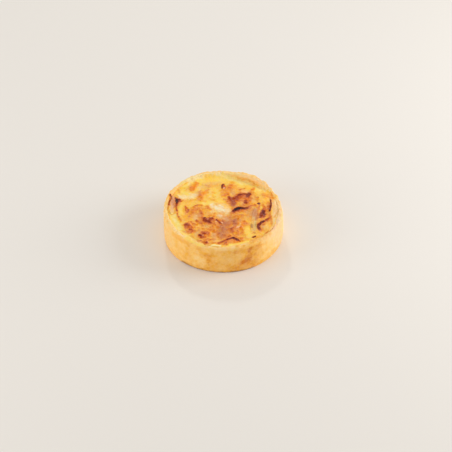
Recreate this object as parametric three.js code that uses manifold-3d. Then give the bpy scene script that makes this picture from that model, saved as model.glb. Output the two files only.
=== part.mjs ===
// A single-serving quiche: a straight-sided shortcrust case, a baked custard and cheese filling,
// and browned onion slices half sunk in its top.
// Millimetres, +Z up, origin at the middle of the base. The side seen in front faces -Y.

import * as THREE from "three";
import { mergeVertices } from "three/addons/utils/BufferGeometryUtils.js";
import Module from "manifold-3d";

const wasm = await Module();
wasm.setup();

// Driving dimensions
const CASE_DIAMETER = 110;
const CASE_HEIGHT = 30;
const WALL_THICKNESS = 4;
const FLOOR_THICKNESS = 3.5;
const HEEL_RADIUS = 1; // outside, where the wall turns into the base
const CORNER_RADIUS = 3; // inside, where the wall turns into the floor
const RIM_OUTSIDE = 1.3; // rounding of the rim's outer edge
const RIM_INSIDE = 1.2; // rounding of the rim's inner edge
const FILL_LEVEL = 28.4; // the filling's edge above the base
const FILL_DOME = 0.5; // how much its middle stands above its edge
const LOWEST_EDGE = 23; // below every point of the filling's edge
const GAP = 0.3; // between pieces that touch

// Facets
const TURN_STEPS = 80; // round the case and the filling
const WALL_STEPS = 5; // up the straight wall
const ARC_STEPS = 2; // for each half of a quarter round
const FILL_RINGS = 20; // across the filling's top
const SLICE_STEPS = 12; // along an onion slice
const SLICE_SIDES = 8; // round an onion slice

const CASE_RADIUS = CASE_DIAMETER / 2;
const INNER_RADIUS = CASE_RADIUS - WALL_THICKNESS;

// The rim was trimmed by hand: where it stands high or low, as an angle from +X and a half width.
const RIM_LOBES = [
  { at: 20, spread: 26, rise: -2.9 },
  { at: 60, spread: 24, rise: 2.5 },
  { at: 93, spread: 22, rise: 1.8 },
  { at: 120, spread: 24, rise: 1.8 },
  { at: 158, spread: 18, rise: 1.4 },
  { at: 225, spread: 34, rise: 0.3 },
  { at: 262, spread: 20, rise: -0.6 },
  { at: 316, spread: 34, rise: -0.3 },
];

// Where the rim is thicker or thinner than the wall, inwards.
const RIM_SWELLS = [
  { at: 60, spread: 44, rise: 1.2 },
  { at: 168, spread: 30, rise: -0.5 },
  { at: 262, spread: 32, rise: -1.0 },
  { at: 318, spread: 36, rise: -0.6 },
];

// Where the filling's edge sank or rose against the case.
const EDGE_LOBES = [
  { at: 20, spread: 24, rise: -1.0 },
  { at: 62, spread: 46, rise: -2.8 },
  { at: 130, spread: 44, rise: 0.6 },
  { at: 250, spread: 70, rise: 0.8 },
  { at: 215, spread: 45, rise: 0.6 },
  { at: 320, spread: 38, rise: 0.7 },
];
const EDGE_STARTS = 0.68; // share of the filling's radius

// Where the wall sags outwards, most at a third of its height.
const WALL_BELLIES = [
  { at: 334, spread: 42, rise: 1.0 },
  { at: 210, spread: 40, rise: 0.8 },
];

// Where the wall leans in as it rises.
const WALL_LEANS = [{ at: 10, spread: 42, rise: -0.9 }];

// How the wall swings in and out as it goes round: the count of waves, their phase, the turn of that
// phase from the base to the rim, and how far they stand out at the base and at the rim.
const WALL_WAVES = [
  { count: 3, phase: 0.7, turn: 0, base: 0, rim: 0.3 },
  { count: 5, phase: 1.1, turn: 2.2, base: 0.2, rim: 0.2 },
];

// A pleat where the ends of the pastry strip overlap, leaning back as it rises.
const PLEAT = { at: 289, lean: 8, spread: 6, depth: 0.8, low: 3, high: 28 };

// Mounds and hollows of the filling: middle, half sizes, turn in degrees and rise.
const MOUNDS = [
  { x: -14, y: -14, long: 7, wide: 6, turn: 0, rise: 1.3 },
  { x: -32, y: -22, long: 8, wide: 6, turn: 110, rise: 1.2 },
  { x: -18, y: -36, long: 8, wide: 7, turn: 20, rise: 1.2 },
  { x: -20, y: 21, long: 9, wide: 6, turn: 80, rise: 1.0 },
  { x: -28, y: 33, long: 9, wide: 4.5, turn: 65, rise: 1.1 },
  { x: 6, y: 29, long: 12, wide: 9, turn: 100, rise: 0.8 },
  { x: 16, y: 14, long: 14, wide: 10, turn: 10, rise: 1.2 },
  { x: -3, y: 2, long: 12, wide: 7, turn: -35, rise: 1.0 },
  { x: -26, y: -1, long: 12, wide: 9, turn: -20, rise: 0.9 },
  { x: 7, y: -27, long: 17, wide: 11, turn: 10, rise: 1.2 },
  { x: -39, y: -3, long: 15, wide: 4.5, turn: 95, rise: 0.9 },
  { x: 37, y: 21, long: 12, wide: 7, turn: 75, rise: 1.0 },
  { x: 38, y: -24, long: 8, wide: 7, turn: 60, rise: 1.0 },
  { x: 16, y: -10, long: 10, wide: 7, turn: -15, rise: 0.8 },
  { x: 8, y: -44, long: 13, wide: 5, turn: 5, rise: 0.8 },
  { x: -9, y: 24, long: 6, wide: 9, turn: 0, rise: -0.7 },
  { x: -6, y: 42, long: 14, wide: 6, turn: 0, rise: -0.5 },
  { x: 4, y: -12, long: 9, wide: 6, turn: 40, rise: -0.8 },
  { x: 27, y: -24, long: 14, wide: 5, turn: 85, rise: -0.7 },
  { x: -26, y: -32, long: 5, wide: 6, turn: 0, rise: -0.6 },
  { x: -43, y: -17, long: 16, wide: 5, turn: -65, rise: -0.5 },
  { x: -31, y: -38, long: 16, wide: 5, turn: -45, rise: -0.5 },
];

// Fine unevenness of the baked top: waves across x and y, each with its phase.
const RIPPLES = [
  { across: 0.31, along: 0.17, phase: 0.4, rise: 0.16 },
  { across: -0.22, along: 0.36, phase: 1.9, rise: 0.15 },
  { across: 0.52, along: -0.41, phase: 3.1, rise: 0.1 },
];

// Onion slices that show: route in plan from end to end, width, thickness, depth sunk into the
// filling, and how far the long edges curl up.
const ONION_SLICES = {
  onion_petal_left: {
    route: [[-43.6, 18.5], [-46, 11.4], [-47.2, 1.6], [-46.4, -8.2]],
    width: 5.8, thickness: 1.8, sunk: 0.6, curl: 1.4,
  },
  onion_petal_right: {
    route: [[44.4, 13], [46, 4], [45.9, -5.6], [43.6, -15]],
    width: 5.6, thickness: 1.8, sunk: 0.7, curl: 1.1,
  },
  onion_band_right: {
    route: [[30.2, 4], [28.8, -6], [27.2, -20], [25.6, -33]],
    width: 4.8, thickness: 1.6, sunk: 0.8, curl: 0.3,
  },
  onion_arch_back: {
    route: [[8, 13], [11, 18.5], [16, 22.5], [23, 22.4], [22, 15], [20.5, 10]],
    width: 2.6, thickness: 2.8, sunk: 1.6, curl: 0.1,
  },
  onion_strip_centre: {
    route: [[7.4, -2.6], [11, 1.2], [16, 3], [21, 3.2], [26, 5.4]],
    width: 3.6, thickness: 2.8, sunk: 1.6, curl: 0.1,
  },
  onion_strip_right: {
    route: [[38, 2.5], [36.6, -3], [34.6, -9.6]],
    width: 4.4, thickness: 2.4, sunk: 1.1, curl: 0.3,
  },
  onion_curl_right: {
    route: [[39.6, -14.4], [36.2, -15.8], [32.6, -19], [31.8, -24], [33, -28.6]],
    width: 3.0, thickness: 2.8, sunk: 1.6, curl: 0.1,
  },
  onion_arch_front: {
    route: [[-4, -46], [3, -42.6], [8.4, -39], [12, -40.2], [14.6, -43.4]],
    width: 2.6, thickness: 2.8, sunk: 1.6, curl: 0.1,
  },
  onion_tip_back: {
    route: [[-0.8, 37.4], [0, 34], [0.8, 30.6]],
    width: 3.6, thickness: 2.8, sunk: 1.4, curl: 0.2,
  },
  onion_strip_front: {
    route: [[-6.6, -13], [-3.6, -16.4], [-0.4, -20.4]],
    width: 2.2, thickness: 2.6, sunk: 1.6, curl: 0.1,
  },
  onion_bit_left: {
    route: [[-35, 4.4], [-34, 0.4], [-32.4, -3.6]],
    width: 2.6, thickness: 2.6, sunk: 1.6, curl: 0.1,
  },
  onion_bit_front: {
    route: [[26, -39.6], [27.6, -37.6], [30, -36.8]],
    width: 1.8, thickness: 2.4, sunk: 1.5, curl: 0.1,
  },
};

// Colours, as baked
const PASTRY = new THREE.MeshStandardMaterial({ color: 0xeec079, roughness: 0.75, metalness: 0 });
const CUSTARD = new THREE.MeshStandardMaterial({ color: 0xe8a850, roughness: 0.5, metalness: 0 });
const ONION = new THREE.MeshStandardMaterial({ color: 0x9a5a35, roughness: 0.4, metalness: 0 });

const radians = THREE.MathUtils.degToRad;

// A smooth hill: 1 in its middle and 0 from a distance of 1 outwards.
const hill = (distance) => (distance < 1 ? (1 - distance ** 2) ** 2 : 0);

// A belly up the wall: 0 at the base and at the rim, 1 at a third of the height.
const belly = (share) => (27 / 4) * share * (1 - share) ** 2;

// The shorter way round from one angle to another.
const between = (angle, other) =>
  Math.abs(THREE.MathUtils.euclideanModulo(angle - other + Math.PI, 2 * Math.PI) - Math.PI);

// The sum of the lobes at an angle round the case.
function lobesAt(lobes, angle) {
  return lobes.reduce(
    (sum, { at, spread, rise }) => sum + rise * hill(between(angle, radians(at)) / radians(spread)),
    0,
  );
}

// How far the wall stands out at an angle and height, with its bellies and the pleat on the outside.
function wallSwing(angle, height, outside) {
  const share = height / CASE_HEIGHT;
  let swing = lobesAt(WALL_LEANS, angle) * share ** 2;
  for (const { count, phase, turn, base, rim } of WALL_WAVES)
    swing += THREE.MathUtils.lerp(base, rim, share) * Math.sin(count * angle + phase + turn * share);
  if (!outside) return swing;
  swing += lobesAt(WALL_BELLIES, angle) * belly(share);
  const along = (2 * height - PLEAT.low - PLEAT.high) / (PLEAT.high - PLEAT.low);
  const middle = radians(PLEAT.at + PLEAT.lean * share);
  const across = between(angle, middle) / radians(PLEAT.spread);
  return swing - PLEAT.depth * hill(across) * hill(Math.abs(along));
}

// A point of the even case, moved to where the uneven one has it.
function uneven(point) {
  const radius = Math.hypot(point.x, point.y);
  if (radius < CASE_RADIUS / 2) return point;
  const angle = Math.atan2(point.y, point.x);
  const outside = radius > CASE_RADIUS - WALL_THICKNESS / 2;
  const nearRim = THREE.MathUtils.smoothstep(point.z, CASE_HEIGHT / 2, CASE_HEIGHT);
  const swell = outside ? 0 : lobesAt(RIM_SWELLS, angle) * nearRim;
  const moved = radius + wallSwing(angle, point.z, outside) - swell;
  point.z += lobesAt(RIM_LOBES, angle) * nearRim;
  point.x = moved * Math.cos(angle);
  point.y = moved * Math.sin(angle);
  return point;
}

// The filling's top at a place in plan.
function fillHeight(x, y) {
  const share = Math.hypot(x, y) / INNER_RADIUS;
  const edge = lobesAt(EDGE_LOBES, Math.atan2(y, x));
  let height = FILL_LEVEL + FILL_DOME * Math.max(0, 1 - share ** 2);
  height += edge * THREE.MathUtils.smoothstep(share, EDGE_STARTS, 1);
  for (const { x: midX, y: midY, long, wide, turn, rise } of MOUNDS) {
    const [c, s] = [Math.cos(radians(turn)), Math.sin(radians(turn))];
    const [dx, dy] = [x - midX, y - midY];
    height += rise * hill(Math.hypot((dx * c + dy * s) / long, (dy * c - dx * s) / wide));
  }
  for (const { across, along, phase, rise } of RIPPLES)
    height += rise * Math.sin(across * x + along * y + phase);
  return height;
}

// A closed round body from a profile that starts and ends on the axis, with each vertex moved.
function turned(profile, move) {
  const geometry = new THREE.LatheGeometry(profile, TURN_STEPS).rotateX(Math.PI / 2);
  const position = geometry.getAttribute("position");
  const point = new THREE.Vector3();
  for (let i = 0; i < position.count; i++) {
    move(point.fromBufferAttribute(position, i), i % profile.length);
    position.setXYZ(i, point.x, point.y, point.z);
  }
  return geometry;
}

// The pastry case: out along the base, up the wall, over the rim and back across the floor.
function pastryCase() {
  const outline = new THREE.Path();
  const wallFoot = HEEL_RADIUS;
  const wallTop = CASE_HEIGHT - RIM_OUTSIDE;
  const innerTop = CASE_HEIGHT - RIM_INSIDE;
  outline.moveTo(0, 0);
  outline.lineTo(CASE_RADIUS - HEEL_RADIUS, 0);
  outline.absarc(CASE_RADIUS - HEEL_RADIUS, HEEL_RADIUS, HEEL_RADIUS, -Math.PI / 2, 0);
  for (let i = 1; i < WALL_STEPS; i++)
    outline.lineTo(CASE_RADIUS, wallFoot + ((wallTop - wallFoot) * i) / WALL_STEPS);
  outline.absarc(CASE_RADIUS - RIM_OUTSIDE, wallTop, RIM_OUTSIDE, 0, Math.PI / 2);
  outline.absarc(INNER_RADIUS + RIM_INSIDE, innerTop, RIM_INSIDE, Math.PI / 2, Math.PI);
  for (let i = WALL_STEPS - 1; i > 0; i--)
    outline.lineTo(INNER_RADIUS, FLOOR_THICKNESS + ((innerTop - FLOOR_THICKNESS) * i) / WALL_STEPS);
  outline.lineTo(INNER_RADIUS, FLOOR_THICKNESS + CORNER_RADIUS);
  outline.lineTo(INNER_RADIUS - CORNER_RADIUS, FLOOR_THICKNESS);
  outline.lineTo(0, FLOOR_THICKNESS);
  return turned(outline.getPoints(ARC_STEPS), uneven);
}

// The filling: a bumpy top, and sides and a bottom that follow the case's inside.
function fillingBody() {
  const edge = INNER_RADIUS - GAP;
  const bottom = FLOOR_THICKNESS + GAP;
  const foot = bottom + CORNER_RADIUS;
  const profile = [new THREE.Vector2(0, bottom), new THREE.Vector2(edge - CORNER_RADIUS, bottom)];
  for (let i = 0; i < WALL_STEPS; i++)
    profile.push(new THREE.Vector2(edge, foot + ((LOWEST_EDGE - foot) * i) / WALL_STEPS));
  const firstTop = profile.length;
  for (let i = FILL_RINGS; i >= 0; i--)
    profile.push(new THREE.Vector2((edge * i) / FILL_RINGS, FILL_LEVEL));
  return turned(profile, (point, index) => {
    if (index >= firstTop) point.z = fillHeight(point.x, point.y);
    if (index <= firstTop) {
      const height = point.z;
      uneven(point);
      point.z = height;
    }
  });
}

// An onion slice laid along its route on the filling, tapered at both ends. A pocket for it is the
// same slice, grown all round.
function onionSlice({ route, width, thickness, sunk, curl }, grow = 0) {
  const curve = new THREE.CatmullRomCurve3(route.map(([x, y]) => new THREE.Vector3(x, y, 0)));
  const geometry = new THREE.SphereGeometry(1, SLICE_SIDES, SLICE_STEPS);
  const position = geometry.getAttribute("position");
  const length = curve.getLength();
  for (let i = 0; i < position.count; i++) {
    const turn = (i % (SLICE_SIDES + 1)) / SLICE_SIDES * 2 * Math.PI;
    const step = Math.floor(i / (SLICE_SIDES + 1)) / SLICE_STEPS;
    const fullness = Math.sqrt(1 - (2 * step - 1) ** 2);
    const middle = curve.getPointAt(step);
    const ahead = curve.getTangentAt(step);
    const side = Math.cos(turn) * fullness * (width / 2 + grow);
    const along = (2 * step - 1) * grow * (1 + width / length);
    const x = middle.x + ahead.y * side + ahead.x * along;
    const y = middle.y - ahead.x * side + ahead.y * along;
    const rise = Math.sin(turn) * fullness * (thickness / 2 + grow);
    const lift = thickness / 2 - sunk + curl * (side / (width / 2)) ** 2;
    position.setXYZ(i, x, y, fillHeight(x, y) + lift + rise);
  }
  return geometry;
}

// A geometry as a solid that can be cut, and back again.
function solidOf(geometry) {
  const bare = geometry.clone();
  bare.deleteAttribute("normal");
  bare.deleteAttribute("uv");
  const merged = mergeVertices(bare, 1e-3);
  const vertProperties = merged.getAttribute("position").array;
  const triVerts = new Uint32Array(merged.index.array);
  return new wasm.Manifold(new wasm.Mesh({ numProp: 3, vertProperties, triVerts }));
}

function geometryOf(solid) {
  const { vertProperties, triVerts } = solid.getMesh();
  return new THREE.BufferGeometry()
    .setAttribute("position", new THREE.BufferAttribute(vertProperties, 3))
    .setIndex(new THREE.BufferAttribute(triVerts, 1));
}

function named(name, geometry, material) {
  const mesh = new THREE.Mesh(geometry, material);
  mesh.name = name;
  return mesh;
}

const quiche = new THREE.Group();
let filling = solidOf(fillingBody());
for (const [name, slice] of Object.entries(ONION_SLICES)) {
  filling = filling.subtract(solidOf(onionSlice(slice, GAP)));
  quiche.add(named(name, onionSlice(slice), ONION));
}
quiche.add(named("pastry_case", pastryCase(), PASTRY));
quiche.add(named("filling", geometryOf(filling), CUSTARD));

export default quiche;
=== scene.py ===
"""A single-serving quiche: shortcrust case, browned custard and cheese filling, roasted onion slices.

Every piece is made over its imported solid. Meshes are in metres; the sizes and places below are in
millimetres, with X to the right, Y to the back and Z up.
"""

import math
from collections import namedtuple
from itertools import starmap

import bpy
import numpy as np
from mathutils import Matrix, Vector, noise
from mathutils.bvhtree import BVHTree


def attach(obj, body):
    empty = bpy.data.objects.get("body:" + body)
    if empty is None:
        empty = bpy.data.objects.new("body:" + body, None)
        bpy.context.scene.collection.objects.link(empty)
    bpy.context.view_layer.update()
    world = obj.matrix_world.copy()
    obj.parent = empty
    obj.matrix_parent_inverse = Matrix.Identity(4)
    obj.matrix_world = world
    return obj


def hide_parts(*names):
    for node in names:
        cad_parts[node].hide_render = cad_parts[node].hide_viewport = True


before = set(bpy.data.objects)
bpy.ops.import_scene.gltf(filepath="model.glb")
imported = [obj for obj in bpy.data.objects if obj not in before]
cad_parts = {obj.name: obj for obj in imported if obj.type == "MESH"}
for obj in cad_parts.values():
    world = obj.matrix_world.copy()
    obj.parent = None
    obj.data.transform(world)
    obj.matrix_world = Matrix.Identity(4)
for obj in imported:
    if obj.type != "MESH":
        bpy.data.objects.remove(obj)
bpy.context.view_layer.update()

MM = 0.001

# The case, as its solid has it
CASE_RADIUS = 55.0
CASE_HEIGHT = 30.0
WALL = 4.0
FLOOR = 3.5
HEEL = 1.0
CORNER = 3.0
RIM_OUTSIDE = 1.3
RIM_INSIDE = 1.2
INNER_RADIUS = CASE_RADIUS - WALL
RIM_CREST = CASE_RADIUS - WALL / 3  # where the rim's height is taken

# Zones of the case: where each starts, and where it is full
OUTER_RADII = (CASE_RADIUS - 1.0, CASE_RADIUS - 0.3)
OUTER_HEIGHTS = (0.2, 3.0)
CREST_HEIGHTS = (CASE_HEIGHT - 2.6, CASE_HEIGHT - 0.6)
INSIDE_RADII = (CASE_RADIUS - RIM_OUTSIDE, INNER_RADIUS + RIM_INSIDE)
INSIDE_HEIGHTS = (18.0, 22.0)
FRONT_PLACES = (0.0, -20.0)

# Fineness of the meshes
CASE_SECTORS = 640
CASE_ANGLES = np.linspace(0, 2 * math.pi, CASE_SECTORS, endpoint=False)
CASE_HUB = 6.0  # the radius of the fans in the case's middle
FILLING_STEPS = 300
ONION_LEVELS = 3
WELD = 0.01  # corners closer than this are one

# How often neighbours are averaged
CASE_PASSES = 30
POCKET_PASSES = 300
TOP_PASSES = 14

# The filling's fit
INTO_WALL = 1.3  # how far its top runs into the case, so that no gap shows
EDGE_INSET = 0.2  # how far inside its edge its outermost height is taken
SIDE_TOP = 20.0  # a height of its side that is below every onion slice
SIDE_FOOT = FLOOR + 0.3
POCKET_REACH = 0.45  # closer than this to an onion slice, the filling's solid is a pocket
EDGE_CLIMB = 0.1  # the share of the wall above it that it climbs
EDGE_REACH = 4.0  # how far from the wall the climb starts
LIP = 0.35  # the height of its lip, where it has drawn back from the wall
LIP_INSET = 1.7  # how far the lip is from the wall
LIP_SECTOR = (74, 34)  # the lip's direction and spread, in degrees

# Where it climbs more: direction and spread in degrees, and how much more
MORE_CLIMB = [(-36, 34, 0.7), (0, 26, 0.65), (34, 28, 0.75), (68, 38, 0.5), (106, 40, 0.8)]

# The photograph's camera
VIEW_ELEVATION = 40.5
VIEW_DISTANCE = 1200.0
VIEW_AIM = (2.5, -7.5, 15.0)
VIEW_END = 20000.0
LENS = 103.8

# Marks on the top are placed as they look from the front, on a level plane: a point above it shows
# further back
PLAN_LEVEL = 28.0
PLAN_SLANT = 1 / math.tan(math.radians(VIEW_ELEVATION))

# How fast the finer octaves of a noise fade, how much finer each is, and how far a seed shifts it
FRACTAL_FADE = 1.0
FRACTAL_STEP = 2.0
SEED_SHIFT = (17.3, -9.1, 5.7)

# Noises, each a size, a seed and octaves, with their shares in the relief and in the browning
CASE_GRAINS = [(16.0, 1, 2), (5.0, 2, 3), (1.6, 3, 3)]
WALL_RELIEF = (0.25, 0.14, 0.06)
RIM_RELIEF = (0.35, 0.75, 0.3)
WALL_MOTTLE = (0.08, 0.09, 0.10)
RIM_MOTTLE = (0.10, 0.10, 0.06)

# Lumps, curds, grit and ridges
TOP_GRAINS = [(7.0, 11, 2), (2.8, 12, 3), (1.1, 13, 3), (5.0, 14, 2)]
RIDGES = 3
TOP_RELIEF = (0.6, 0.45, 0.12, 0.35)
TOP_MOTTLE = (0.06, 0.11, 0.08, 0.04)
CLIMB_UNEVEN = (0.4, 0.3, 0.0, 0.0)

ONION_GRAINS = [(2.0, 21, 3), (0.8, 22, 2)]
ONION_RELIEF = (0.2, 0.07)
ONION_MOTTLE = (0.08, 0.06)

# How marks wander: shares of a mark's softness, and the size of the noise
TOP_WANDER = [(0.5, 5.0), (0.45, 1.8)]
TOP_SEED = 15
WALL_WANDER = [(0.8, 12.0), (0.5, 4.0)]
WALL_SEED = 4
WANDER_OCTAVES = 2

# Small bubbles of the top: the least and the most of their place to the right, place to the back and
# radius, and their rise as a share of the radius
BLISTERS = 700
BLISTER_SEED = 7
BLISTER_LEAST = (-50, -50, 0.5)
BLISTER_MOST = (50, 50, 1.5)
BLISTER_RISE = 0.28
BLISTER_BROWNING = 0.10

# How custard and onion brown, from 0 for raw to 1 for char, with colours as they look
BROWNING = [
    (0.00, (255, 234, 165)),
    (0.12, (255, 220, 108)),
    (0.25, (255, 200, 82)),
    (0.38, (247, 174, 70)),
    (0.50, (234, 142, 54)),
    (0.62, (208, 104, 44)),
    (0.75, (160, 64, 32)),
    (0.87, (110, 38, 26)),
    (1.00, (52, 36, 36)),
]

# How pastry browns
PASTRY_BROWNING = [
    (0.0, (255, 230, 182)),
    (0.2, (255, 216, 152)),
    (0.4, (255, 203, 118)),
    (0.6, (247, 184, 88)),
    (0.8, (228, 148, 64)),
    (1.0, (196, 104, 46)),
    (1.3, (112, 52, 40)),
]

# Levels of browning between which the custard turns lumpy, blisters, chars and starts to shine, and
# between which onion hides its veils
LUMPY = (0.12, 0.42)
BLISTERED = (0.3, 0.5)
CHARRED = (0.6, 0.85)
SHINY = (0.4, 0.85)
ROASTED = (0.5, 0.7)
SMOOTH_SHARE = 0.3  # the share of the relief and the mottling that smooth custard has
CHAR_CALM = 0.7  # the share of the mottling that char loses
CUSTARD_GLOSS = 0.3
ONION_GLOSS = 0.9
PROUD = (-0.1, 0.6)  # heights over the filling between which onion starts to be its own colour

# The least that each dark onion slice is browned where it stands out of the filling
ONION_LEVEL = {
    "onion_arch_back": 0.56,
    "onion_strip_centre": 0.5,
    "onion_strip_right": 0.6,
    "onion_curl_right": 0.56,
    "onion_arch_front": 0.54,
    "onion_tip_back": 0.6,
    "onion_strip_front": 0.5,
    "onion_bit_left": 0.48,
    "onion_bit_front": 0.45,
}

# Colours of veils
TINTS = {
    "milk": (255, 242, 218),
    "cream": (255, 233, 190),
    "straw": (255, 228, 142),
    "yolk": (255, 216, 106),
    "apricot": (250, 184, 86),
    "orange": (255, 150, 52),
    "peach": (252, 207, 148),
    "beige": (238, 192, 132),
    "tan": (216, 150, 100),
    "rust": (182, 66, 14),
    "mauve": (186, 118, 92),
    "olive": (230, 194, 120),
    "umber": (172, 120, 68),
    "pink": (252, 200, 172),
}

# A mark, browned or painted as highlight or shade: its level, half width, softness of its edge, route,
# cover from 0 to 1, and rise
Mark = namedtuple("Mark", "level width soft route cover rise", defaults=(0.8, 0.0))

# A veil of another colour, some of them painted highlight or shade, which the wander thins in places
Veil = namedtuple("Veil", "tint width soft route cover", defaults=(0.5,))
VEIL_THINNING = 1.2
VEIL_LEAST = 0.2

# What is browner than this, and has a softer edge, has a browned ring round it
HALO_FROM = 0.68
HALO_EDGE = 0.55
HALO_LEVEL = 0.56
HALO_WIDTH = 1.0
HALO_SOFT = 2.3
HALO_COVER = 0.8

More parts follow.
